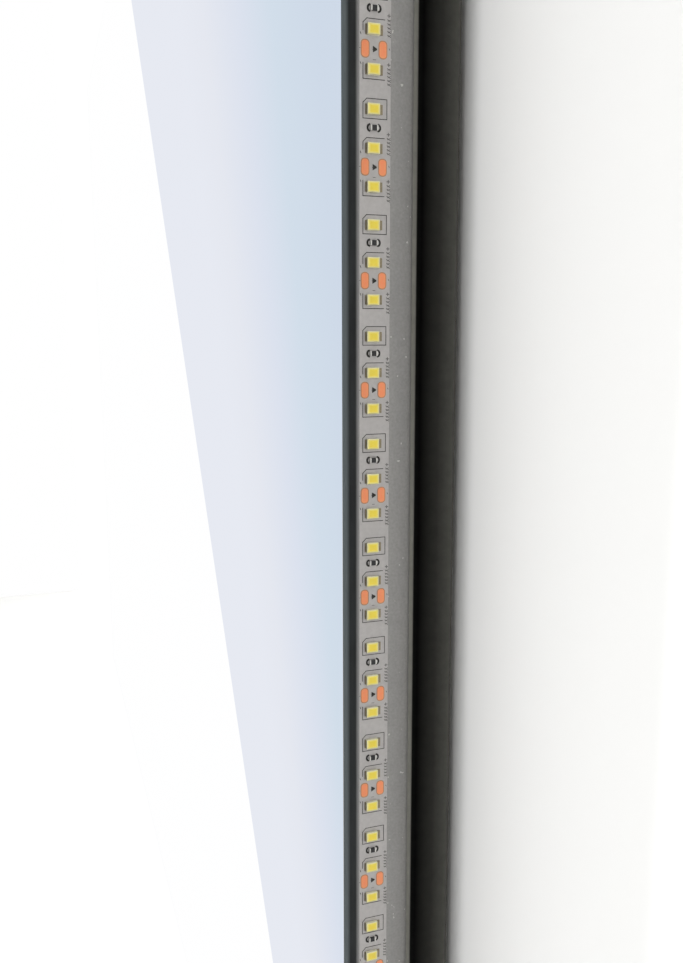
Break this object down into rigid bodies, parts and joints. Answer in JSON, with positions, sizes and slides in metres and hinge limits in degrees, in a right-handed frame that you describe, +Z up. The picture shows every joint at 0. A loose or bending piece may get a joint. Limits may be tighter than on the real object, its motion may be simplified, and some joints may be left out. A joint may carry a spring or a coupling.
{
  "type": "lighted bathroom mirror",
  "caption": "Backlit rectangular wall mirror: silvered glass on a mitred frame with edge LED strips, inset dark back pan and a lift-off wall rail.",
  "frame": {"origin": "centre of the wall rail's back face, on the wall plane", "axes": "+X along the width, +Y into the wall, -Y the mirror's front, +Z up"},
  "size_m": [0.8, 0.038, 0.6],
  "materials": {
    "silvered_glass": "polished",
    "foam_tape": "matte",
    "frame_aluminium": "satin",
    "strip_board": "satin",
    "led_phosphor": "satin",
    "resistor_black": "satin",
    "zinc_steel": "zinc plated",
    "pan_paint": "semi-gloss",
    "black_rubber": "matte",
    "lead_sleeve": "satin",
    "housing_plastic": "matte",
    "circuit_board": "satin",
    "components": "satin",
    "block_plastic": "satin",
    "tinned_brass": "tinned"
  },
  "bodies": {
    "wall_rail": {"wall_rail": "frame_aluminium"},
    "mirror": {"mirror_glass": "silvered_glass", "bonding_tape": "foam_tape", "frame_right": "frame_aluminium", "led_strip_right": "strip_board", "led_chips_right": "led_phosphor", "led_resistors_right": "resistor_black", "frame_bottom": "frame_aluminium", "led_strip_bottom": "strip_board", "led_chips_bottom": "led_phosphor", "led_resistors_bottom": "resistor_black", "frame_left": "frame_aluminium", "led_strip_left": "strip_board", "led_chips_left": "led_phosphor", "led_resistors_left": "resistor_black", "frame_top": "frame_aluminium", "led_strip_top": "strip_board", "led_chips_top": "led_phosphor", "led_resistors_top": "resistor_black", "corner_keys": "zinc_steel", "corner_screws": "zinc_steel", "pan_screws": "zinc_steel", "hanger_hook_left": "zinc_steel", "hanger_hook_right": "zinc_steel", "hanger_rivets": "zinc_steel", "driver_screws": "zinc_steel", "terminal_box_screws": "zinc_steel", "earth_screw": "zinc_steel", "terminal_screws": "zinc_steel", "back_pan": "pan_paint", "wall_bumpers": "black_rubber", "inlet_grommet": "black_rubber", "lead_grommet": "black_rubber", "strip_jumpers": "lead_sleeve", "supply_leads": "lead_sleeve", "mains_leads": "lead_sleeve", "earth_lead": "lead_sleeve", "driver_case": "housing_plastic", "driver_lid": "housing_plastic", "terminal_box": "housing_plastic", "terminal_lid": "housing_plastic", "lead_clips": "housing_plastic", "driver_board": "circuit_board", "driver_parts": "components", "terminal_block": "block_plastic", "earth_tag": "tinned_brass"}
  },
  "joints": [
    {"name": "lift_off", "type": "slide", "parent": "wall_rail", "child": "mirror", "axis": [0, 0, 1], "range_m": [0, 0.013]}
  ]
}
